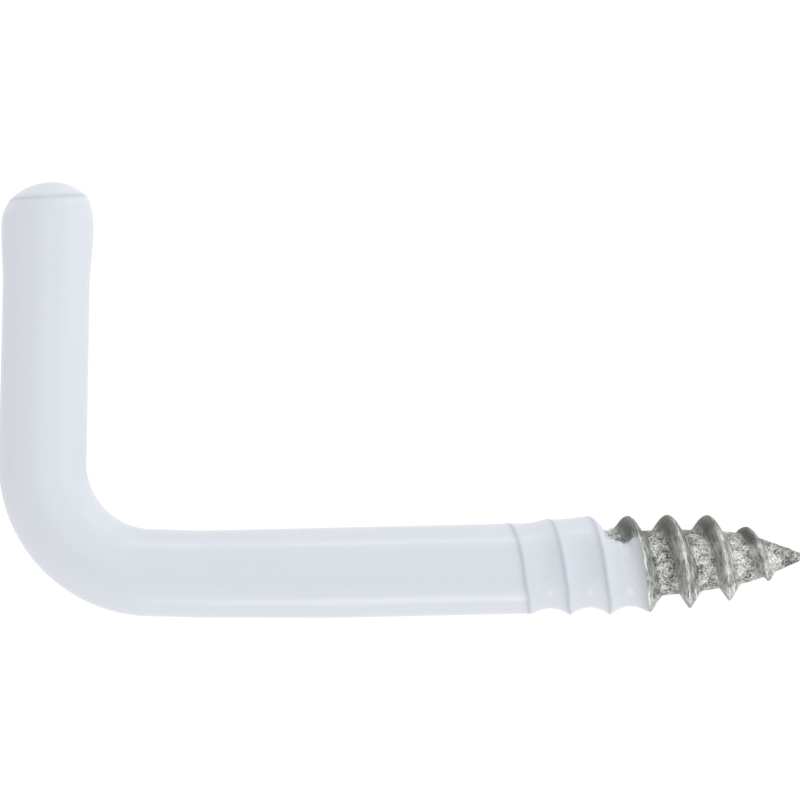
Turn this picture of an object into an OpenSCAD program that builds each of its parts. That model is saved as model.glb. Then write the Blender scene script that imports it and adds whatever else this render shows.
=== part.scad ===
// Screw-in hinge pin: steel wire bent to a square corner, with a wood-screw thread rolled on
// the end of its shank and a soft plastic coat over the pin, the shank and the first threads.
// It lies on its side. The shank is on the X axis with its point towards +X, and the pin
// rises along +Y. The origin is on the axis of the shank, where the thread begins.

/* [Wire] */
// Diameter of the steel wire
wire_d = 4.5; // [4.3:0.1:5.2]
// Shank, from the axis of the pin to the start of the thread
shank_len = 26; // [18:0.2:60]
// Steel pin, from the axis of the shank to its cut end
pin_len = 23.8; // [16:0.2:50]
// Radius of the bend, at the middle of the wire
bend_r = 6.8; // [5:0.1:9]
// Angle between the shank and the pin
corner_angle = 87.5; // [84:0.5:96]
// Chamfer round the cut end of the pin
end_chamfer = 0.3; // [0.1:0.05:0.6]

/* [Thread] */
// Outer diameter of the thread
thread_d = 6.1; // [5.6:0.1:7]
// Diameter of the core between the turns
core_d = 4.2; // [3.6:0.1:4.3]
// Thread, from its start to the point
thread_len = 22.2; // [18:0.1:30]
// Distance from one turn to the next
pitch = 2.5; // [2.2:0.05:2.8]
// Width of the flat on the thread's crest
crest_w = 0.16; // [0.1:0.02:0.3]
// Angle between the two flanks of the thread
flank_angle = 70; // [56:1:75]
// Turns that the thread takes to reach its full height
rise_turns = 3; // [2:0.5:4]
// Length over which the core narrows to the point
taper_len = 7.4; // [6.4:0.1:9]
// Length of the plain cone at the point
cone_len = 2.4; // [1.8:0.1:3.4]
// Angle of the cone at the point
cone_angle = 44; // [40:1:52]

/* [Coat] */
// Thickness of the coat
coat_t = 0.5; // [0.3:0.05:0.8]
// Thickness of the coat where it thins out over a crest
crest_t = 0.07; // [0.05:0.01:0.15]
// Coat, from the start of the thread to its end on the thread
coat_reach = 11; // [8:0.1:13]
// Slope of the coat's end, which reaches further along the lower side
end_slope = 26.5; // [10:0.5:40]
// Lead of the coat along a valley, past that slope
creep = 0.15; // [0:0.05:0.4]
// Height of the coat's dome over the cut end of the pin
dome_h = 1.1; // [0.9:0.05:1.6]
// Swelling of the coat near the end of the pin, on the radius
bead_h = 0.15; // [0.05:0.01:0.2]
// Length over which that swelling fades down the pin
bead_len = 4; // [2:0.1:6]

/* [Hidden] */
$fn = 72;

wire_r = wire_d / 2;
coat_r = wire_r + coat_t;
core_r = core_d / 2;
thread_h = (thread_d - core_d) / 2;
turn_angle = 180 - corner_angle;
setback = bend_r * tan(turn_angle / 2);    // from the corner to each end of the bend
bend_step = 0.01;                          // the bend stands this much proud of its straight ends
bend_lap = 0.1;                            // and they reach this far into it
pin_start = setback - bend_lap;

// Thread
row_count = 36;                            // rows of facets in one turn
neck_len = 0.5;                            // cone from the wire down to the core
neck_step = 0.04;                          // small ledge where the neck meets the core
start_gap = 0.05;                          // from the start to the first turn, beyond half a pitch
tail_gap = 1.25;                           // from the end of the ridge to the point
tail_len = 0.9;                            // length over which the ridge's end dies away
tail_share = 0.62;                         // height of the ridge there, against the full height
foot_h = 0.35;                             // least height that the foot of a ridge is wide enough for
valley_share = 0.4;                        // place of the last valley, from the ridge to the point
first_crest = pitch / 2 + start_gap;
ridge_turns = (thread_len - tail_gap - first_crest) / pitch;
tan_flank = tan(flank_angle / 2);

// Coat over the thread
valley_gain = 0.05;                        // the coat gathers this much between the turns
valley_r = core_r + coat_t + valley_gain;
crease_w = 0.06;                           // width of the coat's crease over a crest
end_side = 170;                            // side that the coat's end reaches furthest on
lean = valley_r * tan(end_slope);          // how much further it reaches there
skin_turns = ceil((coat_reach + coat_r * tan(end_slope)) / pitch) + 1;

// End of the coat on the pin
apex = pin_len + dome_h;
rim_t = 0.15;                              // coat over the edge of the cut end
rim_r = wire_r + rim_t;
rim_drop = 0.9;                            // from the apex down to the crease round that edge
bead_drop = 2.8;                           // from the apex down to the widest point
bead_r = coat_r + bead_h;
dome_r = (rim_r * rim_r + rim_drop * rim_drop) / (2 * rim_drop);
shoulder_angle = 47;                       // slope of the coat's side where it meets the crease
end_steps = 6;                             // steps in each part of that profile

function mix(a, b, share) = a + (b - a) * share;
function clamp(v) = min(1, max(0, v));

// Radius of the core at a distance x from the thread's start: full, then a curve that the
// cone's side and the core's side both touch, then the cone
tan_cone = tan(cone_angle / 2);
cone_r = cone_len * tan_cone;
knee = core_r / tan_cone;                  // where the cone would reach the core's full radius
bow = cone_len - 2 * knee + taper_len;     // 0 where the knee is half way along the curve
run = 2 * (knee - cone_len);
least_bow = 0.001;                         // a bow under this counts as none
function curve_share(u) =
    abs(bow) < least_bow ? (u - cone_len) / run
    : (sqrt(run * run + 4 * bow * (u - cone_len)) - run) / (2 * bow);
function curve_r(share) = mix(mix(cone_r, core_r, share), core_r, share);
function core_at(x) =
    let (u = thread_len - x)
    u >= taper_len ? core_r
    : u <= cone_len ? u * tan_cone
    : curve_r(curve_share(u));

// Height of the thread's ridge over the core after t turns
function ridge_at(t) =
    let (u = thread_len - first_crest - pitch * t)
    thread_h * sqrt(clamp(t / rise_turns)) * clamp((u - tail_gap) / tail_len)
        * mix(tail_share, 1, clamp((u - tail_gap) / (taper_len - tail_gap)));

// One row of the thread after t turns, from the left foot of its ridge to the valley beyond:
// [along the axis, from the axis] points
function steel_row(t) =
    let (x = first_crest + pitch * t, h = ridge_at(t), top = core_at(x) + h,
         crest = crest_w / 2, foot = crest + max(h, foot_h) * tan_flank, flank = (crest + foot) / 2,
         valley = t + 1 < ridge_turns ? pitch / 2 : mix(foot, thread_len - x, valley_share))
    [[x - foot, core_at(x - foot)], [x - flank, core_at(x - flank) + h / 2], [x - crest, top],
     [x + crest, top], [x + flank, core_at(x + flank) + h / 2], [x + foot, core_at(x + foot)],
     [x + valley, core_at(x + valley)]];
cols = len(steel_row(0));
crest_cols = [2, 3];

// The same row on the outside of the coat, hollow between sharp creases over the crests
function crease_side(k) = k == crest_cols[0] ? -1 : k == crest_cols[1] ? 1 : 0;
function coat_row(t) =
    let (x = first_crest + pitch * t, row = steel_row(t),
         over_crest = max(crest_t, coat_t * (1 - t / rise_turns)),
         base = mix(coat_r, valley_r, clamp(t)),
         crest = max(core_r + ridge_at(t) + over_crest, base))
    [for (k = [0 : cols - 1])
        let (side = crease_side(k), d = side == 0 ? row[k][0] - x : side * crease_w / 2,
             share = 1 - min(1, 2 * abs(d) / pitch))
        [x + d, mix(base, crest, share * share)]];

// Whether the coat covers a point of a row: its end is a slope across the axis, and where it
// reaches the middle of a valley it fills it up to the next crest
function end_at(t) = coat_reach + lean * cos(360 * t - end_side);
function covered(t, k) =
    let (x = first_crest + pitch * t)
    k < crest_cols[0] ? x - pitch / 2 < end_at(t) + creep
    : k == cols - 1 ? x + pitch / 2 < end_at(t) + creep
    : steel_row(t)[k][0] < end_at(t);

// Points of rows set round the axis, and of a ring at the thread's start
function spin(p, t) = [p[1] * cos(90 + 360 * t), p[1] * sin(90 + 360 * t), p[0]];
function row_points(rows, row) =
    [for (i = [0 : rows]) for (p = row(i / row_count)) spin(p, i / row_count)];
function ring_points(r) = [for (i = [0 : row_count - 1]) spin([0, r], i / row_count)];

// Facets of a skin wound along the thread. Each row's right edge meets the left edge of the
// row one turn later, and the first turn is joined to a ring at the thread's start.
function at(i, k) = k < cols ? i * cols + k : (i + row_count) * cols;
function quad(a, b, c, d) = [[a, d, c], [a, c, b]];
function fan(hub, points) = [for (i = [0 : len(points) - 2]) [hub, points[i], points[i + 1]]];
function skin(rows) =
    let (ring = (rows + 1) * cols, last = row_count - 1)
    concat(
        [for (i = [0 : rows - 1]) for (k = [0 : cols - (i + row_count < rows ? 1 : 2)])
            each quad(at(i, k), at(i + 1, k), at(i + 1, k + 1), at(i, k + 1))],
        [for (i = [0 : last - 1]) each quad(ring + i, ring + i + 1, at(i + 1, 0), at(i, 0))],
        fan(at(last, 0), concat([at(row_count, 0)],
            [for (k = [cols - 1 : -1 : 0]) at(0, k)], [ring, ring + last])));

module thread() {
    rows = floor(ridge_turns * row_count);
    ring = (rows + 1) * cols;
    point = ring + row_count;
    first = rows - row_count;
    polyhedron(
        points = concat(row_points(rows, function (t) steel_row(t)), ring_points(core_r),
            [[0, 0, thread_len]]),
        faces = concat(skin(rows), [[for (i = [0 : row_count - 1]) ring + i]],
            [for (i = [first + 1 : rows - 1]) [at(i, cols - 1), point, at(i + 1, cols - 1)]],
            fan(at(first + 1, cols - 1),
                concat([at(first, cols - 1)], [for (k = [0 : cols - 1]) at(rows, k)], [point]))));
}

module coat_over_thread() {
    rows = skin_turns * row_count;
    inner = len(row_points(rows, function (t) steel_row(t))) + row_count;
    // Points of the coat's outside follow those of its inside, and where the coat has run out
    // both are the same point
    over = [for (i = [0 : rows]) for (k = [0 : cols - 1]) covered(i / row_count, k)];
    function outside(v) = v >= len(over) || over[v] ? v + inner : v;
    facets = [for (f = skin(rows)) if (max([for (v = f) outside(v)]) >= inner) f];
    ring = inner - row_count;
    polyhedron(
        points = concat(row_points(rows, function (t) steel_row(t)), ring_points(core_r),
            row_points(rows, function (t) coat_row(t)), ring_points(coat_r / cos(180 / row_count))),
        faces = concat([for (f = facets) [for (v = f) outside(v)]],
            [for (f = facets) [f[2], f[1], f[0]]],
            [for (i = [0 : row_count - 1]) let (a = ring + i, b = ring + (i + 1) % row_count)
                each quad(a, b, b + inner, a + inner)]));
}

// Turns what is built up the Z axis to lie along the X axis
module along_shank() {
    rotate([0, 90, 0]) children();
}

// Places what is built up the Z axis on the axis of the pin, from the corner upwards
module along_pin() {
    translate([-shank_len, 0, 0]) rotate([-90, 0, corner_angle - 90]) children();
}

// Round bar along the shank, up to the thread's neck, and round the bend
module bent_bar(r) {
    straight = shank_len - setback;
    translate([-straight - bend_lap, 0, 0]) along_shank()
        cylinder(r = r, h = straight + bend_lap - neck_len);
    translate([-straight, bend_r, 0]) rotate_extrude(start = 270 - turn_angle, angle = turn_angle)
        translate([bend_r, 0]) circle(r = r + bend_step);
}

module steel_bar() {
    bent_bar(wire_r);
    along_pin() rotate_extrude() polygon([[0, pin_start], [wire_r, pin_start],
        [wire_r, pin_len - end_chamfer], [wire_r - end_chamfer, pin_len], [0, pin_len]]);
    along_shank() translate([0, 0, -neck_len])
        cylinder(r1 = wire_r, r2 = core_r + neck_step, h = neck_len);
}

module steel_pin() {
    color("silver") {
        steel_bar();
        along_shank() thread();
    }
}

// Coat on the pin: straight, then the bead rising, the shoulder, the crease and the dome
module coat_on_pin() {
    widest = apex - bead_drop;
    bead = [for (i = [end_steps : -1 : 0]) let (share = i / end_steps)
        [coat_r + bead_h * (1 + cos(180 * share)) / 2, widest - bead_len * share]];
    shoulder_r = (bead_r - rim_r) / (1 - cos(shoulder_angle));
    shoulder_l = (bead_drop - rim_drop) / sin(shoulder_angle);
    shoulder = [for (i = [1 : end_steps]) let (a = shoulder_angle * i / end_steps)
        [bead_r - shoulder_r * (1 - cos(a)), widest + shoulder_l * sin(a)]];
    dome = [for (i = [end_steps - 1 : -1 : 0]) let (a = asin(rim_r / dome_r) * i / end_steps)
        [dome_r * sin(a), apex - dome_r * (1 - cos(a))]];
    rotate_extrude() polygon(concat([[0, pin_start], [coat_r, pin_start]], bead, shoulder, dome));
}

module plastic_coat() {
    color("white") {
        difference() {
            union() {
                bent_bar(coat_r);
                along_pin() coat_on_pin();
                along_shank() translate([0, 0, -neck_len]) cylinder(r = coat_r, h = neck_len);
            }
            steel_bar();
        }
        along_shank() coat_over_thread();
    }
}

steel_pin();
plastic_coat();
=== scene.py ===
"""Looks of a screw-in hinge pin.

A steel wire with a square bend and a rolled thread, in a coat of white plastic.
"""

import logging
import math
from collections.abc import Callable, Sequence
from dataclasses import dataclass, field
from enum import Enum
from typing import Any

import bmesh
import bpy
from mathutils import Matrix, Vector, noise


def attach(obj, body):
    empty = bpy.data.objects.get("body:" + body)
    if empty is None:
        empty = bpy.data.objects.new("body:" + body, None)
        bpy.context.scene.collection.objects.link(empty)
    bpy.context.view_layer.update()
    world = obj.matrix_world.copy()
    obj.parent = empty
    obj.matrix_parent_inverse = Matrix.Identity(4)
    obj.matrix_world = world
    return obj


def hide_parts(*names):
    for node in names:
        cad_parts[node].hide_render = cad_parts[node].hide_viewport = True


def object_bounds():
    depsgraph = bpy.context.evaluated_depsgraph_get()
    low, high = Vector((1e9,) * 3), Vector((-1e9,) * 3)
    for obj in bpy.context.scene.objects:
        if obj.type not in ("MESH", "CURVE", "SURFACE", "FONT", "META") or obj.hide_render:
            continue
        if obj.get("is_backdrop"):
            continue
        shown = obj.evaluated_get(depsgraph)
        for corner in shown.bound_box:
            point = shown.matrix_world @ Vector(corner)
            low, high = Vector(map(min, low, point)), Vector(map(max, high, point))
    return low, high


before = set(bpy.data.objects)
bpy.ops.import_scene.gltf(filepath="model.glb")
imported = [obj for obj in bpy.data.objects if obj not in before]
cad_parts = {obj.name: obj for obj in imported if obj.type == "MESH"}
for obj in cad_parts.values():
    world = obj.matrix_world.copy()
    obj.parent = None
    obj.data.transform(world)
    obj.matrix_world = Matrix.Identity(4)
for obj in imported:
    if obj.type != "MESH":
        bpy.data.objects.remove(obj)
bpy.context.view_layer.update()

LOG = logging.getLogger("hinge_pin")
MM = 0.001
TURN = 2 * math.pi


class Slot(Enum):
    """Material slots of the record."""

    ZINC = "zinc_steel"
    PLASTIC = "white_plastic"


class Mark(Enum):
    """Values kept on a mesh's points for its finish to read."""

    FILM = "coat_film"
    # painted shade in the coat's creases, over the crests and round the closed end
    CREASE_SHADE = "coat_crease_shade"


def clamp(value: float) -> float:
    """Keep a value from 0 to 1."""
    return min(1.0, max(0.0, value))


def mix(low: float, high: float, share: float) -> float:
    """Go from one value to another by a share."""
    return low + (high - low) * share


def ease(value: float) -> float:
    """Rise smoothly from 0 to 1 as the value does."""
    value = clamp(value)
    return value * value * (3 - 2 * value)


def soft_max(value: float, floor: float, blend: float) -> float:
    """Take the larger of two values, with a rounded change between them.

    Args:
        value: the value that may rise over the floor.
        floor: the value it is kept above.
        blend: half the width of the rounded part.

    Returns:
        The rounded maximum.
    """
    over = value - floor
    if abs(over) >= blend:
        return floor + max(over, 0.0)
    return floor + (over + blend) ** 2 / (4 * blend)


@dataclass(frozen=True)
class PinForm:
    """Sizes of the pin in millimetres: thread along +X, pin up +Y, coat round both.

    The thread starts at the origin, and turn 0 of its crest is on the +Y side.
    """

    wire_r: float = 2.25
    shank_len: float = 26.06  # from the thread's start to the corner
    pin_len: float = 23.63  # from the corner to the wire's cut end
    bend_r: float = 6.95
    corner_deg: float = 87.5
    neck_len: float = 0.5  # cone from the wire down to the core
    core_r: float = 2.1
    thread_h: float = 0.97
    thread_len: float = 22.2
    pitch: float = 2.525
    first_crest: float = 1.05
    crest_half: float = 0.08  # half the crest's width
    crest_swell: float = 0.05  # added to it on the +Y side
    crest_round: float = 0.05  # blend of crest and flank
    crest_round_up: float = 0.2  # the same on the +Y side
    root_round: float = 0.13  # blend of flank and core
    flank_deg: float = 33.0
    lean_deg: float = 3.0  # one flank is this much steeper, the other this much flatter
    rise_turns: float = 3.0  # turns over which the ridge reaches its height
    tail_gap: float = 1.25  # from the ridge's end to the point
    tail_len: float = 0.9  # length over which that end dies away
    tail_share: float = 0.42  # height of the ridge there, against the full height
    fade_from: float = 2.9  # from where the ridge is that low to the point
    fade_len: float = 2.4
    taper_len: float = 12.0  # from where the core starts to narrow to the point
    blunt: float = 0.4  # what the cone would need to come to a true point
    blunt_len: float = 0.22  # length of the rounded point
    bow: float = 0.15  # how far the crests stand forward on the +Z side, and back on the other
    cone_len: float = 2.9
    cone_deg: float = 22.0
    tail_sway: float = 0.23  # how far the tail lies towards +Y, where that starts, and its run
    tail_from: float = 10.0
    tail_run: float = 9.5
    bend_rise: float = 0.16  # the same for the coated wire towards the bend
    rise_from: float = -15.2
    rise_run: float = 4.3
    coat_t: float = 0.5
    valley_t: float = 0.55
    crest_t: float = 0.05
    dome_h: float = 1.23

    @property
    def turn_angle(self) -> float:
        """Angle that the bend turns through."""
        return math.radians(180 - self.corner_deg)

    @property
    def setback(self) -> float:
        """Distance from the corner to each end of the bend."""
        return self.bend_r * math.tan(self.turn_angle / 2)

    @property
    def pin_axis(self) -> Vector:
        """Direction of the pin, from the corner up."""
        return Vector((-math.cos(self.turn_angle), math.sin(self.turn_angle), 0))

    @property
    def bend_start(self) -> float:
        """Place along X where the bend meets the shank."""
        return self.setback - self.shank_len

    def core_at(self, x: float) -> float:
        """Radius of the core: full, then a curve, then a cone to the blunt point."""
        to_point = self.thread_len + self.blunt - x
        slope = math.tan(math.radians(self.cone_deg))
        if to_point >= self.taper_len:
            return self.core_r
        if to_point <= self.cone_len:
            return to_point * slope * math.sqrt(clamp((self.thread_len - x) / self.blunt_len))
        knee = self.core_r / slope
        excess = self.cone_len - 2 * knee + self.taper_len
        run = 2 * (knee - self.cone_len)
        share = (math.sqrt(run * run + 4 * excess * (to_point - self.cone_len)) - run) / (2 * excess)
        cone_r = self.cone_len * slope
        return mix(mix(cone_r, self.core_r, share), self.core_r, share)

    def crest_x(self, turns: float) -> float:
        """Place of the crest along X after so many turns."""
        return self.first_crest + self.pitch * turns

    def ridge_at(self, turns: float) -> float:
        """Height of the ridge over the core after so many turns."""
        to_point = self.thread_len - self.crest_x(turns)
        taper = ease((to_point - self.fade_from) / self.fade_len)
        return (
            self.thread_h
            * math.sqrt(clamp(turns / self.rise_turns))
            * clamp((to_point - self.tail_gap) / self.tail_len)
            * mix(self.tail_share, 1.0, taper)
        )

    def nearest_crest(self, x: float, angle: float) -> tuple[float, float]:
        """Find the crest nearest to a place on the thread.

        Args:
            x: place along the axis.
            angle: angle round it, from +Y towards +Z.

        Returns:
            The crest's turns, and how far the place lies beyond it along X.
        """
        part = (angle % TURN) / TURN
        x -= self.bow * math.sin(angle)
        turns = round((x - self.first_crest) / self.pitch - part) + part
        return turns, x - self.crest_x(turns)

    def steel_r(self, x: float, angle: float) -> float:
        """Radius of the steel, with rounded crests and roots."""
        turns, offset = self.nearest_crest(x, angle)
        flank = math.radians(self.flank_deg - math.copysign(self.lean_deg, offset) * math.cos(angle))
        swell = clamp(math.cos(angle)) ** 2
        half = self.crest_half + self.crest_swell * swell
        blend = mix(self.crest_round, self.crest_round_up, swell)
        away = soft_max(abs(offset) - half, 0.0, blend) - soft_max(-half, 0.0, blend)
        drop = away / math.tan(flank)
        return self.core_at(x) + soft_max(self.ridge_at(turns) - drop, 0.0, self.root_round)

    def sway(self, x: float) -> float:
        """How far the axis lies towards +Y, along the tail and up to the bend."""
        tail = self.tail_sway * ease((x - self.tail_from) / self.tail_run)
        return tail + self.bend_rise * ease((self.rise_from - x) / self.rise_run)


@dataclass(frozen=True)
class CoatEnd:
    """Where the coat stops on the thread: a tilted edge that runs ahead along the valleys."""

    form: PinForm
    reach: float = 10.9
    lean: float = 1.32  # how much further it reaches on one side
    side_deg: float = 170.0  # where that side is
    creep: float = 0.12  # how far it runs ahead in a valley
    slant: float = 0.12
    along: float = 3.1  # how fast it thickens along a valley
    lip: float = 1.2
    side_lip: float = 0.3  # length over which it thins out on a flank
    ragged_valley: float = 0.065
    ragged_edge: float = 0.04
    streak_along: float = 6.5  # streaks per millimetre
    streak_around: float = 3.0
    finer: float = 2.3
    fade_len: float = 0.85  # length over which the steel shows through before a bare crest
    edge_fade: float = 0.12

    def edge_at(self, angle: float) -> float:
        """Place of the tilted edge along X."""
        return self.reach + self.lean * math.cos(angle - math.radians(self.side_deg))

    def ragged(self, x: float, angle: float) -> float:
        """Uneven streaks along the edge."""
        around = self.streak_around
        streak = Vector((x * self.streak_along, math.cos(angle) * around, math.sin(angle) * around))
        return noise.noise(streak) + 0.5 * noise.noise(streak * self.finer)

    def share_at(self, x: float, angle: float) -> tuple[float, float]:
        """Work out how far the coat is from its end.

        Args:
            x: place along the axis.
            angle: angle round it.

        Returns:
            The coat's share of its full thickness, and the signed distance from the edge.
        """
        form = self.form
        turns, offset = form.nearest_crest(x, angle)
        crest = form.crest_x(turns)
        half = form.pitch / 2
        middle = crest + math.copysign(half, offset)
        edge = self.edge_at(angle)
        uneven = self.ragged(x, angle)
        filled = edge + self.creep - middle - self.slant * (x - middle) + self.ragged_valley * uneven
        own = edge - x + self.ragged_edge * uneven
        inside = max(filled * self.along, own)
        beside = form.crest_half * -0.6 - offset + 3 * max(0.0, edge - crest)
        body = 1 - math.exp(-max(inside, 0.0) / (self.lip / 2))
        return body * ease(beside / self.side_lip + 0.25), min(inside, beside)

    def film_at(self, x: float, angle: float) -> float:
        """Share of the white that the coat keeps where it thins out to its end."""
        form = self.form
        turns, offset = form.nearest_crest(x, angle)
        ahead = offset + 3 * min(0.0, form.crest_x(turns) - self.edge_at(angle))
        _, inside = self.share_at(x, angle)
        to_crest = 1 - math.exp(min(0.0, ahead) / self.fade_len)
        return to_crest * (1 - math.exp(-max(0.0, inside) / self.edge_fade))


@dataclass(frozen=True)
class CoatForm:
    """Outside of the coat on the thread."""

    form: PinForm
    end: CoatEnd
    least: float = 0.04  # least thickness
    sunk: float = 0.05  # how far it dips into the steel where it has ended
    sink_run: float = 0.12
    dip: float = 0.1  # how far it stays under the crests where it nearly fills the valleys
    crease_r: float = 0.05
    sag_h: float = 0.2
    sag_rise: tuple[float, float] = (-16.5, 10.0)  # where the sag starts, and over what length
    sag_fall: tuple[float, float] = (3.8, 2.4)
    # painted shade along each crest of the coat: width and wobble of its line, and width of the wider
    # shade to one side
    shade_line_w: float = 0.11
    shade_line_wobble: float = 0.07
    shade_w: float = 0.25

    def crest_r(self, turns: float) -> float:
        """Radius of the coat over the crest after so many turns."""
        form = self.form
        full = form.core_r + form.thread_h + form.crest_t
        return mix(form.wire_r + form.coat_t, full, ease((turns - 0.7) / 2.2))

    def full_r(self, x: float, angle: float) -> float:
        """Radius of the whole coat, hollow between the crests but nearly filled on the +Y side."""
        form = self.form
        turns, offset = form.nearest_crest(x, angle)
        start = clamp((x - form.first_crest) / form.pitch - 1.0)
        hollow = form.core_r + mix(form.wire_r - form.core_r + form.coat_t, form.valley_t, ease(start))
        flush = self.crest_r((x - form.first_crest) / form.pitch) - self.dip
        base = mix(hollow, max(hollow, flush), ease((math.cos(angle) - 0.2) / 0.7))
        crest = max(self.crest_r(turns), base)
        away = math.sqrt(offset * offset + self.crease_r**2) - self.crease_r
        return base + (crest - base) * (1 - min(1.0, 2 * away / form.pitch)) ** 2

    def sag(self, x: float, angle: float) -> float:
        """How much fuller the coat is on the -Y side of the shank and the first turns."""
        start, rise = self.sag_rise
        end, fall = self.sag_fall
        along = ease((x - start) / rise) * (1 - ease((x - end) / fall))
        return self.sag_h * along * (1 - math.cos(angle)) / 2

    def depth(self, x: float, angle: float) -> float:
        """Thickness of the coat over the steel, less than 0 where there is none."""
        steel = self.form.steel_r(x, angle)
        whole = soft_max(self.full_r(x, angle) - steel, self.least, self.least)
        share, inside = self.end.share_at(x, angle)
        return whole * share - self.sunk * (1 - ease(inside / self.sink_run + 0.6))

    def seam(self, x: float, angle: float) -> float:
        """How strongly a place gets the painted shade of the coat's crease over a crest."""
        turns, offset = self.form.nearest_crest(x, angle)
        offset += self.shade_line_wobble * noise.noise(Vector((turns * 9.0, 0.0, 0.0)))
        line = math.exp(-((offset / self.shade_line_w) ** 2))
        shade = math.exp(-(((offset + 0.1) / self.shade_w) ** 2))
        return min(1.0, line + 0.3 * shade) * ease((turns - 0.55) / 0.5)


@dataclass
class WoundSkin:
    """Skin wound along the thread: a row of edges screwed round the axis and welded turn to turn."""

    form: PinForm
    columns: int
    rows: int

    def wind(self, end_x: float) -> bmesh.types.BMesh:
        """Wind a skin of radius 1 from the thread's start.

        Args:
            end_x: place along X where it is cut off.

        Returns:
            The mesh, cut square at both ends.
        """
        bm = bmesh.new()
        form = self.form
        first = -2
        turns = math.ceil((end_x - form.crest_x(first)) / form.pitch + 0.5)
        corner = bm.verts.new((form.crest_x(first) - form.pitch / 2, 1, 0))
        bmesh.ops.spin(
            bm, geom=[corner], cent=(0, 0, 0), axis=(1, 0, 0), angle=0, steps=self.columns,
            dvec=(form.pitch / self.columns, 0, 0),
        )
        bmesh.ops.spin(
            bm, geom=bm.verts[:] + bm.edges[:], cent=(0, 0, 0), axis=(1, 0, 0), angle=TURN,
            steps=self.rows, dvec=(form.pitch / self.rows, 0, 0),
        )
        one_turn = bm.verts[:] + bm.edges[:] + bm.faces[:]
        for turn in range(1, turns):
            made = bmesh.ops.duplicate(bm, geom=one_turn)["geom"]
            verts = [g for g in made if isinstance(g, bmesh.types.BMVert)]
            bmesh.ops.translate(bm, verts=verts, vec=(form.pitch * turn, 0, 0))
        bmesh.ops.remove_doubles(bm, verts=bm.verts, dist=form.pitch / self.columns / 4)
        for x, side in ((0.0, "clear_inner"), (end_x, "clear_outer")):
            bmesh.ops.bisect_plane(
                bm, geom=bm.verts[:] + bm.edges[:] + bm.faces[:], dist=1e-5, plane_co=(x, 0, 0),
                plane_no=(1, 0, 0), **{side: True},
            )
        return bm


def angle_of(point: Vector) -> float:
    """Angle of a point round the X axis, from +Y towards +Z."""
    return math.atan2(point.z, point.y)


def set_radii(verts: Sequence[bmesh.types.BMVert], radius: Callable[[float, float], float]) -> None:
    """Move points away from the X axis.

    Args:
        verts: the points, none of them on the axis.
        radius: gives the radius for a place along X and an angle.
    """
    for vert in verts:
        angle = angle_of(vert.co)
        far = radius(vert.co.x, angle)
        vert.co.y, vert.co.z = far * math.cos(angle), far * math.sin(angle)


def rim_at(
    bm: bmesh.types.BMesh, x: float, least: float = 0.0, most: float = math.inf
) -> list[bmesh.types.BMEdge]:
    """Find open edges.

    Args:
        bm: the mesh.
        x: place along X that they lie at.
        least: least radius of their points.
        most: greatest radius of their points.

    Returns:
        The edges.
    """
    found = []
    for edge in bm.edges:
        if not edge.is_boundary:
            continue
        if all(abs(v.co.x - x) < 1e-3 and least <= v.co.yz.length <= most for v in edge.verts):
            found.append(edge)
    return found


@dataclass
class Sweep:
    """A round bar that grows ring by ring from the open rim of a skin, in a mesh of its own."""

    skin_rim: list[bmesh.types.BMEdge]
    centre: Vector
    radius: float

    def __post_init__(self) -> None:
        """Start with a copy of the rim."""
        self.bm = bmesh.new()
        copies = {v: self.bm.verts.new(v.co) for e in self.skin_rim for v in e.verts}
        self.rim = [self.bm.edges.new([copies[v] for v in e.verts]) for e in self.skin_rim]

    def join(self, skin: bmesh.types.BMesh) -> None:
        """Weld what has grown to the skin."""
        known = set(skin.verts) - {v for e in self.skin_rim for v in e.verts}
        grown = bpy.data.meshes.new("grown")
        self.bm.to_mesh(grown)
        self.bm.free()
        skin.from_mesh(grown)
        bpy.data.meshes.remove(grown)
        bmesh.ops.remove_doubles(skin, verts=[v for v in skin.verts if v not in known], dist=1e-4)

    def verts(self) -> list[bmesh.types.BMVert]:
        """Points of the open rim."""
        return list(dict.fromkeys(v for e in self.rim for v in e.verts))

    def grow(self, to: Vector, radius: float) -> None:
        """Add one ring.

        Args:
            to: its centre.
            radius: its radius.
        """
        made = bmesh.ops.extrude_edge_only(self.bm, edges=self.rim)["geom"]
        self.rim = [g for g in made if isinstance(g, bmesh.types.BMEdge)]
        self.rim = [e for e in self.rim if e.is_boundary]
        verts = self.verts()
        bmesh.ops.translate(self.bm, verts=verts, vec=to - self.centre)
        size = radius / self.radius
        bmesh.ops.scale(self.bm, verts=verts, vec=(size, size, size), space=Matrix.Translation(-to))
        self.centre, self.radius = to, radius

    def bend(self, middle: Vector, angle: float, steps: int) -> None:
        """Turn the bar about a line along Z.

        Args:
            middle: a point of that line.
            angle: how far it turns, clockwise from above.
            steps: how many rings it takes.
        """
        made = bmesh.ops.spin(
            self.bm, geom=self.verts() + self.rim, cent=middle, axis=(0, 0, -1), angle=angle,
            steps=steps, dvec=(0, 0, 0),
        )["geom_last"]
        self.rim = [g for g in made if isinstance(g, bmesh.types.BMEdge) and g.is_boundary]
        self.centre = middle + Matrix.Rotation(angle, 3, Vector((0, 0, -1))) @ (self.centre - middle)

    def close(self, to: Vector) -> None:
        """Close the rim to a pole."""
        made = bmesh.ops.extrude_edge_only(self.bm, edges=self.rim)["geom"]
        verts = [g for g in made if isinstance(g, bmesh.types.BMVert)]
        bmesh.ops.pointmerge(self.bm, verts=verts, merge_co=to)


def along_bar(sweep: Sweep, form: PinForm, steps: int) -> None:
    """Carry a rim from the thread's start along the shank and round the bend.

    Args:
        sweep: the bar, whose rim is on the shank.
        form: sizes of the pin.
        steps: rings on the shank, and again round the bend.
    """
    start = sweep.centre.x
    for i in range(1, steps + 1):
        sweep.grow(Vector((mix(start, form.bend_start, i / steps), 0, 0)), sweep.radius)
    sweep.bend(Vector((form.bend_start, form.bend_r, 0)), form.turn_angle, steps)


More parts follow.
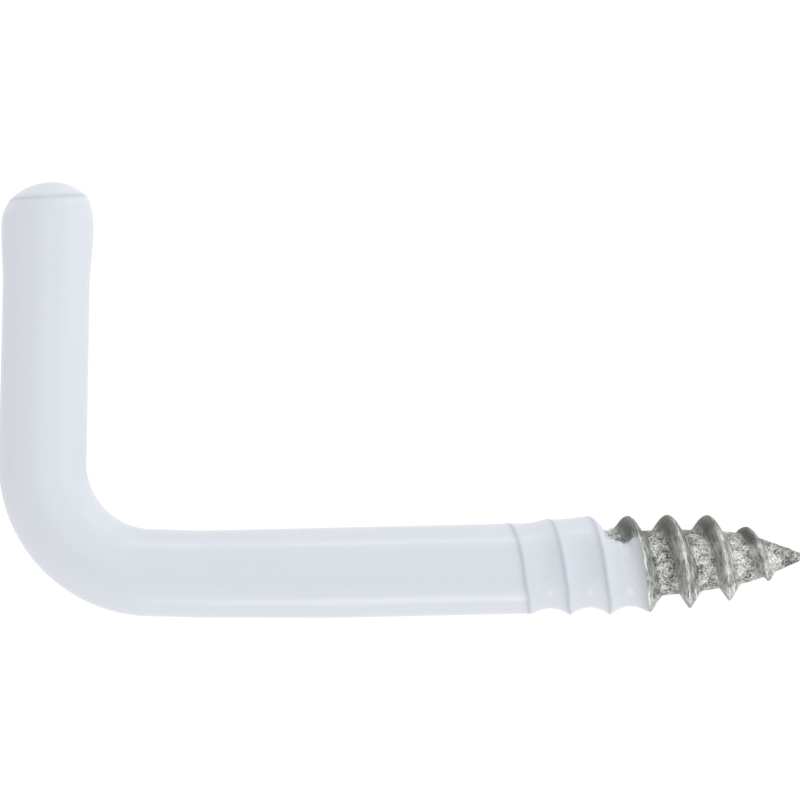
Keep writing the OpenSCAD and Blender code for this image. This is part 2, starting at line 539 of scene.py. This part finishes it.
def follow_sway(bm: bmesh.types.BMesh, form: PinForm) -> None:
    """Move a mesh's points as the axis sways."""
    for vert in bm.verts:
        vert.co.y += form.sway(vert.co.x)


def on_pin(form: PinForm, height: float) -> Vector:
    """Point on the pin's axis at a height over the corner."""
    return Vector((-form.shank_len, 0, 0)) + form.pin_axis * height


def to_object(bm: bmesh.types.BMesh, name: str) -> bpy.types.Object:
    """Make a finished object of a mesh in millimetres.

    Args:
        bm: the mesh, which is freed.
        name: the object's name.

    Returns:
        The object, at the origin and in metres.
    """
    bmesh.ops.recalc_face_normals(bm, faces=bm.faces)
    bmesh.ops.scale(bm, verts=bm.verts, vec=(MM, MM, MM))
    mesh = bpy.data.meshes.new(name)
    bm.to_mesh(mesh)
    bm.free()
    mesh.shade_smooth()
    piece = bpy.data.objects.new(name, mesh)
    bpy.context.scene.collection.objects.link(piece)
    return piece


class Signal:
    """A shader value that can be used in sums: every operator adds its Math node."""

    def __init__(self, graph: "Graph", socket: bpy.types.NodeSocket) -> None:
        """Keep the socket and the graph it belongs to."""
        self.graph = graph
        self.socket = socket

    def __add__(self, other: "Signal | float") -> "Signal":
        """Add."""
        return self.graph.math("ADD", self, other)

    def __sub__(self, other: "Signal | float") -> "Signal":
        """Take away."""
        return self.graph.math("SUBTRACT", self, other)

    def __rsub__(self, other: float) -> "Signal":
        """Take this away from a number."""
        return self.graph.math("SUBTRACT", other, self)

    def __mul__(self, other: "Signal | float") -> "Signal":
        """Multiply."""
        return self.graph.math("MULTIPLY", self, other)

    __radd__ = __add__
    __rmul__ = __mul__

    def cos(self) -> "Signal":
        """Cosine."""
        return self.graph.math("COSINE", self)

    def sin(self) -> "Signal":
        """Sine."""
        return self.graph.math("SINE", self)

    def ramp(self, low: float, high: float) -> "Signal":
        """Rise smoothly from 0 at one value to 1 at the other."""
        values = {"Value": self, "From Min": low, "From Max": high}
        settings = {"interpolation_type": "SMOOTHSTEP"}
        return self.graph.add("ShaderNodeMapRange", settings, values, "Result")


class Graph:
    """Nodes of one material."""

    def __init__(self, name: str) -> None:
        """Start a material with a Principled shader."""
        self.material = bpy.data.materials.new(name)
        self.material.use_nodes = True
        self.tree = self.material.node_tree
        self.shader = self.tree.nodes["Principled BSDF"]

    def put(self, socket: bpy.types.NodeSocket, value: Any) -> None:
        """Link a signal to a socket, or set the socket to a value."""
        if isinstance(value, Signal):
            self.tree.links.new(value.socket, socket)
        else:
            socket.default_value = value

    def add(self, kind: str, settings: dict[str, Any], values: dict[str, Any], output: str) -> Signal:
        """Add a node.

        Args:
            kind: its type.
            settings: its own properties, which are set first.
            values: what goes into its sockets, by name or identifier.
            output: the socket that is wanted.

        Returns:
            The signal at that socket.
        """
        node = self.tree.nodes.new(kind)
        for name, value in settings.items():
            setattr(node, name, value)
        for name, value in values.items():
            found = [s for s in node.inputs if name in (s.identifier, s.name)]
            self.put(found[0], value)
        return Signal(self, next(s for s in node.outputs if output in (s.identifier, s.name)))

    def math(self, operation: str, *values: "Signal | float") -> Signal:
        """Add a Math node."""
        values_by_name = dict(zip(("Value", "Value_001"), values))
        return self.add("ShaderNodeMath", {"operation": operation}, values_by_name, "Value")

    def blend(self, low: Any, high: Any, share: "Signal | float") -> Signal:
        """Mix two colours."""
        values = {"Factor_Float": share, "A_Color": low, "B_Color": high}
        return self.add("ShaderNodeMix", {"data_type": "RGBA"}, values, "Result_Color")

    def place(self) -> tuple[Signal, Signal, Signal, Signal]:
        """Place on the object in millimetres: the vector and its three parts."""
        object_place = self.add("ShaderNodeTexCoord", {}, {}, "Object")
        values = {"Vector": object_place, "Scale": 1 / MM}
        vector = self.add("ShaderNodeVectorMath", {"operation": "SCALE"}, values, "Vector")
        parts = [self.add("ShaderNodeSeparateXYZ", {}, {"Vector": vector}, axis) for axis in "XYZ"]
        return vector, parts[0], parts[1], parts[2]

    def mark(self, mark: Mark) -> Signal:
        """Value kept on the mesh's points."""
        return self.add("ShaderNodeAttribute", {"attribute_name": mark.value}, {}, "Fac")

    def grain(
        self, vector: Signal, scale: float, detail: float = 2.0, w: Signal | None = None
    ) -> Signal:
        """Noise from 0 to 1.

        Args:
            vector: where it is read.
            scale: cells in a unit of that vector.
            detail: how many finer layers it has.
            w: fourth coordinate, where it has one.

        Returns:
            The noise.
        """
        settings = {"noise_dimensions": "3D" if w is None else "4D"}
        values = {"Vector": vector, "Scale": scale, "Detail": detail}
        if w is not None:
            values["W"] = w
        return self.add("ShaderNodeTexNoise", settings, values, "Fac")

    def bump(self, height: Signal, distance: float, strength: float = 1.0) -> Signal:
        """Turn a height into a normal, with the distance in millimetres."""
        values = {"Height": height, "Distance": distance * MM, "Strength": strength}
        return self.add("ShaderNodeBump", {}, values, "Normal")

    def dress(self, **values: Any) -> bpy.types.Material:
        """Fill the shader's sockets, named with underlines for spaces, and give the material."""
        for name, value in values.items():
            self.put(self.shader.inputs[name.replace("_", " ")], value)
        return self.material


@dataclass(frozen=True)
class ZincFinish:
    """Zinc-plated rolled steel: mottled roots and strands along the flanks, with painted light: a
    highlight line on the crests, streaks lit on the flanks facing one way, shade on the flanks facing
    the other way and on the +Y side.
    """

    form: PinForm
    dark: tuple[float, float, float, float] = (0.07, 0.076, 0.064, 1)
    light: tuple[float, float, float, float] = (0.85, 0.86, 0.83, 1)
    metal: float = 0.75
    roughness: float = 0.48
    strand_scale: float = 16.0
    fine_scale: float = 7.0
    finest_scale: float = 19.0
    mottle_scale: float = 1.3
    speck_scale: float = 11.0
    end_gap: float = 1.5  # from the middle of the ridge's end to the point
    grain_h: float = 0.12

    def material(self) -> bpy.types.Material:
        """Build the material."""
        graph = Graph("zinc_steel")
        vector, x, y, z = graph.place()
        angle = graph.math("ARCTAN2", z, y)
        form = self.form
        phase = (x - form.first_crest - angle.sin() * form.bow) * (TURN / form.pitch) - angle
        wave = phase.cos()
        side = phase.sin()
        across = form.pitch / TURN
        lengthwise = {"X": wave * across + x * 0.4, "Y": side * across, "Z": angle.cos() * 0.3}
        wound = graph.add("ShaderNodeCombineXYZ", {}, lengthwise, "Vector")
        strands = graph.grain(wound, self.strand_scale, 2.0, angle.sin() * 0.2)
        ridge_end = form.thread_len - self.end_gap
        past_ridge = x.ramp(ridge_end - 0.4, ridge_end + 0.4)
        root = graph.math("MAXIMUM", (wave * -1).ramp(-0.3, 0.4), past_ridge)
        fine = graph.grain(vector, self.fine_scale, 3.0) * 0.6
        fine = fine + graph.grain(vector, self.finest_scale, 2.0) * 0.4
        mottle = graph.grain(vector, self.mottle_scale, 2.0).ramp(0.35, 0.65)
        specks = graph.grain(vector, self.speck_scale, 1.0).ramp(0.58, 0.7)
        # painted shade: the +Y side round the axis is darkened, the ridges there more than the roots
        top = angle.cos().ramp(0.5, 0.95)
        # painted shade: flanks facing one way are darker, and the +Y side's painted shade is added in
        shade = (side * -1).ramp(0.1, 0.95) * 0.3 + top * (0.65 - root * 0.4)
        lines = strands.ramp(0.3, 0.7)
        # painted highlight: a broken bright line along each crest
        crest = wave.ramp(0.994, 0.9995) * graph.grain(vector, 3.0, 1.0).ramp(0.35, 0.65)
        # painted light: strand streaks, real marks, lightened only on the flanks that face the other way
        # from the shaded ones
        foot = side.ramp(0.3, 0.9) * (wave + 0.35).ramp(0, 0.2) * strands.ramp(0.5, 0.62)
        flank_tone = lines * 0.45 + fine.ramp(0.35, 0.65) * 0.22 + mottle * 0.25
        root_tone = fine.ramp(0.4, 0.6) * 0.6 + mottle * 0.42 + specks * mottle * 0.8 - 0.1
        tone = flank_tone + (root_tone - flank_tone) * root
        # painted shade darkens the tone; the painted crest highlight and the lit streaks lighten it
        tone = tone * (1 - shade) + crest * 0.3 + foot * 0.2
        height = fine * 0.6 * root + strands * 0.3 * (1 - root)
        return graph.dress(
            Base_Color=graph.blend(self.dark, self.light, tone),
            Metallic=self.metal,
            Roughness=self.roughness - specks * root * 0.2,
            Normal=graph.bump(height, self.grain_h, 0.9),
        )


@dataclass(frozen=True)
class PlasticFinish:
    """White glossy soft plastic that shows the steel faintly where it is thin, with painted shade in its
    creases.
    """

    white: tuple[float, float, float, float] = (0.62, 0.644, 0.693, 1)
    thin: tuple[float, float, float, float] = (0.42, 0.45, 0.43, 1)
    # painted shade colour for the coat's creases
    line: tuple[float, float, float, float] = (0.4, 0.42, 0.48, 1)
    gloss_roughness: float = 0.22
    index: float = 1.22
    ripple_h: float = 0.01

    def material(self) -> bpy.types.Material:
        """Build the material."""
        graph = Graph("white_plastic")
        vector, *_ = graph.place()
        film = graph.mark(Mark.FILM)
        seam = graph.mark(Mark.CREASE_SHADE)
        streaks = graph.grain(vector, 7.0, 2.0) - 0.5
        bare = 1 - (film + streaks * 0.4).ramp(-0.1, 0.85)
        colour = graph.blend(self.white, self.thin, bare)
        # painted crease shade
        colour = graph.blend(colour, self.line, seam * 0.65)
        ripple = graph.grain(vector, 1.1, 2.0)
        return graph.dress(
            Base_Color=colour,
            Roughness=self.gloss_roughness,
            IOR=self.index,
            Normal=graph.bump(ripple, self.ripple_h),
        )


@dataclass(frozen=True)
class BenchFinish:
    """White light table."""

    glow: float = 0.9

    def material(self) -> bpy.types.Material:
        """Build the material."""
        graph = Graph("bench_white")
        return graph.dress(
            Base_Color=(0.15, 0.15, 0.15, 1),
            Roughness=0.9,
            IOR=1.2,
            Emission_Color=(1, 1, 1, 1),
            Emission_Strength=self.glow,
        )


@dataclass
class SteelPin:
    """The steel: a bent wire with a rolled thread and a point."""

    form: PinForm
    skin_columns: int = 40
    skin_rows: int = 150
    tip_flat: float = 0.03
    end_chamfer: float = 0.3
    bar_steps: int = 16
    dent_h: float = 0.022
    strand_h: float = 0.014
    dent_r: float = 2.4  # radius at which the dents are read

    def surface_r(self, x: float, angle: float) -> float:
        """Radius of the steel with the dents and strands of rolling."""
        form = self.form
        turns, offset = form.nearest_crest(x, angle)
        root = clamp(abs(offset) / form.pitch * 2)
        around = Vector((x, self.dent_r * math.cos(angle), self.dent_r * math.sin(angle)))
        dents = noise.noise(around * 3.1) + 0.5 * noise.noise(around * 7.3)
        strand = noise.noise(Vector((offset * 6, turns * 2.2, 0)))
        rough = self.dent_h * dents * (0.35 + 0.65 * root) + self.strand_h * strand * (1 - root)
        from_ends = ease((x - 0.2) / 0.8) * ease((form.thread_len - x) / 1.2)
        return form.steel_r(x, angle) + rough * from_ends

    def build(self) -> bpy.types.Object:
        """Build the mesh."""
        form = self.form
        end_x = form.thread_len - self.tip_flat
        bm = WoundSkin(form, self.skin_columns, self.skin_rows).wind(end_x)
        set_radii(bm.verts, self.surface_r)
        follow_sway(bm, form)
        tip = Sweep(rim_at(bm, end_x), Vector(), 1.0)
        tip.close(Vector((form.thread_len, form.sway(form.thread_len), 0)))
        tip.join(bm)
        bar = Sweep(rim_at(bm, 0.0), Vector(), form.core_r)
        bar.grow(Vector((-form.neck_len, 0, 0)), form.wire_r)
        along_bar(bar, form, self.bar_steps)
        bar.grow(on_pin(form, form.pin_len - self.end_chamfer), form.wire_r)
        bar.grow(on_pin(form, form.pin_len), form.wire_r - self.end_chamfer)
        bar.close(on_pin(form, form.pin_len))
        bar.join(bm)
        return to_object(bm, "steel_pin_fine")

    def dress(self, piece: bpy.types.Object) -> None:
        """Give the piece its finish and its place in the frame."""
        piece.data.materials.append(ZincFinish(self.form).material())
        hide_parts("steel_pin")
        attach(piece, "root")


@dataclass
class PlasticCoat:
    """The coat: over the pin, the bend and the shank, and into the thread."""

    form: PinForm
    skin_columns: int = 36
    skin_rows: int = 120
    bar_steps: int = 40
    inner_gap: float = 0.03  # between the steel and the lining
    rim_r: float = 2.4
    rim_drop: float = 1.0  # from the apex down to the crease round the wire's cut edge
    bead_drop: float = 2.8  # from the apex down to the widest point
    pin_thin: float = 0.03  # how much thinner the coat is on the pin
    bead_h: float = 0.17
    bead_len: float = 4.0
    shoulder_deg: float = 47.0
    rim_tilt: float = 0.085  # slope of the closed end, away from the thread
    rim_nod: float = 0.05  # and towards +Z
    rim_shade_line: float = 0.8  # strength of the painted shade line in its crease
    rim_shade_line_w: float = 0.12
    turns_covered: int = 5
    rings: dict[str, int] = field(default_factory=lambda: {"bead": 10, "shoulder": 12, "dome": 12})

    def __post_init__(self) -> None:
        """Work out the coat's shape on the thread."""
        self.over_thread = CoatForm(self.form, CoatEnd(self.form))

    @property
    def outer_r(self) -> float:
        """Radius of the coated wire."""
        return self.form.wire_r + self.form.coat_t

    @property
    def apex(self) -> float:
        """Height of the coat's top over the corner."""
        return self.form.pin_len + self.form.dome_h

    def end_profile(self) -> list[tuple[float, float]]:
        """Radius and height of each ring of the coat's closed end, from the bead up."""
        pin_r = self.outer_r - self.pin_thin
        bead_r = pin_r + self.bead_h
        foot = self.apex - self.bead_drop
        rings = []
        for i in range(self.rings["bead"] + 1):
            share = i / self.rings["bead"]
            rise = self.bead_h * (1 - math.cos(math.pi * share)) / 2
            rings.append((pin_r + rise, foot - self.bead_len * (1 - share)))
        slope = math.radians(self.shoulder_deg)
        wide = (bead_r - self.rim_r) / (1 - math.cos(slope))
        tall = (self.bead_drop - self.rim_drop) / math.sin(slope)
        for i in range(1, self.rings["shoulder"] + 1):
            turn = slope * i / self.rings["shoulder"]
            rings.append((bead_r - wide * (1 - math.cos(turn)), foot + tall * math.sin(turn)))
        dome_r = (self.rim_r**2 + self.rim_drop**2) / (2 * self.rim_drop)
        for i in range(1, self.rings["dome"]):
            turn = math.asin(self.rim_r / dome_r) * (1 - i / self.rings["dome"])
            rings.append((dome_r * math.sin(turn), self.apex - dome_r * (1 - math.cos(turn))))
        return rings

    def build(self) -> bpy.types.Object:
        """Build the mesh."""
        form, over = self.form, self.over_thread
        end_x = form.crest_x(self.turns_covered)
        bm = WoundSkin(form, self.skin_columns, self.skin_rows).wind(end_x)
        bare = []
        for face in bm.faces:
            if all(over.depth(v.co.x, angle_of(v.co)) < -0.9 * over.sunk for v in face.verts):
                bare.append(face)
        bmesh.ops.delete(bm, geom=bare, context="FACES")
        shell = bmesh.ops.extrude_face_region(bm, geom=bm.faces[:], use_keep_orig=True)["geom"]
        outside = [g for g in shell if isinstance(g, bmesh.types.BMVert)]
        outer = set(outside)
        inside = [v for v in bm.verts if v not in outer]
        set_radii(outside, lambda x, a: form.steel_r(x, a) + over.depth(x, a))
        buried = over.sunk + self.inner_gap
        set_radii(inside, lambda x, a: form.steel_r(x, a) - buried)
        ends = [f for f in bm.faces if all(abs(v.co.x) < 1e-3 for v in f.verts)]
        bmesh.ops.delete(bm, geom=ends, context="FACES_ONLY")
        split = (form.core_r + self.outer_r) / 2
        skin = Sweep(rim_at(bm, 0.0, least=split), Vector(), self.outer_r)
        along_bar(skin, form, self.bar_steps)
        for radius, height in self.end_profile():
            skin.grow(on_pin(form, height), radius)
        skin.close(on_pin(form, self.apex))
        lining = Sweep(rim_at(bm, 0.0, most=split), Vector(), form.core_r - buried)
        lining.grow(Vector((-form.neck_len, 0, 0)), form.wire_r - self.inner_gap)
        along_bar(lining, form, self.bar_steps // 2)
        lining.grow(on_pin(form, form.pin_len - self.inner_gap), form.wire_r - self.inner_gap)
        lining.close(on_pin(form, form.pin_len - self.inner_gap))
        skin.join(bm)
        lining.join(bm)
        self.sag_under(bm)
        self.tilt_end(bm)
        self.mark(bm)
        follow_sway(bm, form)
        return to_object(bm, "plastic_coat_fine")

    def sag_under(self, bm: bmesh.types.BMesh) -> None:
        """Let the coat hang a little fuller under the shank and the first turns."""
        form = self.form
        for vert in bm.verts:
            x, angle, far = vert.co.x, angle_of(vert.co), vert.co.yz.length
            steel = form.steel_r(x, angle) if x > 0 else form.wire_r
            if x > form.bend_start and steel < far < 2 * steel:
                vert.co.yz = vert.co.yz * (1 + self.over_thread.sag(x, angle) / far)

    def tilted(self, place: Vector) -> float:
        """How far the tilt of the closed end moves a point along the pin."""
        side = Vector((self.form.pin_axis.y, -self.form.pin_axis.x, 0))
        return self.rim_tilt * place.dot(side) - self.rim_nod * place.z

    def tilt_end(self, bm: bmesh.types.BMesh) -> None:
        """Tilt the closed end a little, as the cut wire under it is."""
        form = self.form
        corner = Vector((-form.shank_len, 0, 0))
        low = self.apex - self.bead_drop
        for vert in bm.verts:
            height = (vert.co - corner).dot(form.pin_axis)
            if height > low:
                share = ease((height - low) / (self.bead_drop - self.rim_drop))
                vert.co += form.pin_axis * (share * self.tilted(vert.co - corner))

    def mark(self, bm: bmesh.types.BMesh) -> None:
        """Keep the coat's white and its painted crease shade on the points."""
        over = self.over_thread
        film = bm.verts.layers.float.new(Mark.FILM.value)
        seam = bm.verts.layers.float.new(Mark.CREASE_SHADE.value)
        corner = Vector((-self.form.shank_len, 0, 0))
        rim = self.apex - self.rim_drop
        for vert in bm.verts:
            if vert.co.x > 0:
                angle = angle_of(vert.co)
                vert[film] = over.end.film_at(vert.co.x, angle)
                # painted shade along the crests
                vert[seam] = over.seam(vert.co.x, angle)
            else:
                place = vert.co - corner
                over_rim = place.dot(self.form.pin_axis) - self.tilted(place) - rim
                vert[film] = 1.0
                # painted shade in the crease round the closed end
                vert[seam] = self.rim_shade_line * math.exp(-((over_rim / self.rim_shade_line_w) ** 2))

    def dress(self, piece: bpy.types.Object) -> None:
        """Give the piece its finish and its place in the frame."""
        piece.data.materials.append(PlasticFinish().material())
        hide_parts("plastic_coat")
        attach(piece, "root")


@dataclass(frozen=True)
class SoftBox:
    """A square lamp behind cloth, aimed at the pin."""

    name: str
    azimuth_deg: float
    height_deg: float
    size: float  # of its side, in metres
    far: float  # from the pin, in metres
    strength: float

    def build(self, target: Vector) -> None:
        """Put up the lamp.

        Args:
            target: what it points at.
        """
        lamp = bpy.data.lights.new(self.name, "AREA")
        lamp.shape = "SQUARE"
        lamp.size = self.size
        lamp.energy = self.strength * self.size**2 * math.pi
        turn, rise = math.radians(self.azimuth_deg), math.radians(self.height_deg)
        away = Vector((math.cos(turn) * math.cos(rise), math.sin(turn) * math.cos(rise), math.sin(rise)))
        stand = bpy.data.objects.new(self.name, lamp)
        stand.location = target + away * self.far
        stand.rotation_euler = away.to_track_quat("Z", "Y").to_euler()
        bpy.context.scene.collection.objects.link(stand)


@dataclass
class Studio:
    """White table, soft lamps and the camera over the pin."""

    floor_z: float
    target: Vector = field(default_factory=lambda: Vector((-3.08, 10.72, 0)) * MM)
    camera_h: float = 155.0 * MM
    lens: float = 110.35
    roll_deg: float = -1.3
    ambient: float = 0.62
    table_half: float = 1.5  # in metres
    lamps: tuple[SoftBox, ...] = (
        SoftBox("lamp_over", 60, 80, 0.5, 0.6, 1.3),
        SoftBox("lamp_left", 180, 35, 0.3, 0.4, 1.0),
        SoftBox("lamp_right", 0, 15, 0.3, 0.35, 1.75),
        SoftBox("lamp_corner", 45, 10, 0.08, 0.35, 5.5),
        SoftBox("lamp_back", 90, 8, 0.09, 0.35, 7.0),
        SoftBox("lamp_front", 270, 14, 0.11, 0.35, 8.0),
    )

    def build(self) -> None:
        """Set up the table, the lamps and the camera."""
        scene = bpy.context.scene
        scene.view_settings.view_transform = "Standard"
        bm = bmesh.new()
        bmesh.ops.create_grid(bm, x_segments=1, y_segments=1, size=self.table_half)
        bmesh.ops.translate(bm, verts=bm.verts, vec=(0, 0, self.floor_z))
        mesh = bpy.data.meshes.new("bench")
        bm.to_mesh(mesh)
        bm.free()
        bench = bpy.data.objects.new("bench", mesh)
        scene.collection.objects.link(bench)
        mesh.materials.append(BenchFinish().material())
        bench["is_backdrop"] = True
        for lamp in self.lamps:
            lamp.build(self.target)
        world = bpy.data.worlds.new("studio")
        world.use_nodes = True
        world.node_tree.nodes["Background"].inputs["Color"].default_value = (1, 1, 1, 1)
        world.node_tree.nodes["Background"].inputs["Strength"].default_value = self.ambient
        scene.world = world
        self.add_camera(scene)

    def add_camera(self, scene: bpy.types.Scene) -> None:
        """Put the camera straight over the pin."""
        eye = bpy.data.cameras.new("camera")
        eye.lens = self.lens
        eye.sensor_width = 36.0
        eye.clip_start = 0.01
        camera = bpy.data.objects.new("camera", eye)
        camera.location = self.target + Vector((0, 0, self.camera_h))
        camera.rotation_euler = (0, 0, math.radians(self.roll_deg))
        scene.collection.objects.link(camera)
        scene.camera = camera


def main() -> None:
    """Build the pin and its studio, and report each piece."""
    logging.basicConfig(level=logging.INFO, format="%(message)s")
    form = PinForm()
    for part in (SteelPin(form), PlasticCoat(form)):
        piece = part.build()
        part.dress(piece)
        faces = sum(len(p.vertices) - 2 for p in piece.data.polygons)
        LOG.info("%s: %d triangles", piece.name, faces)
    Studio(floor_z=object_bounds()[0].z).build()


if __name__ == "__main__":
    main()
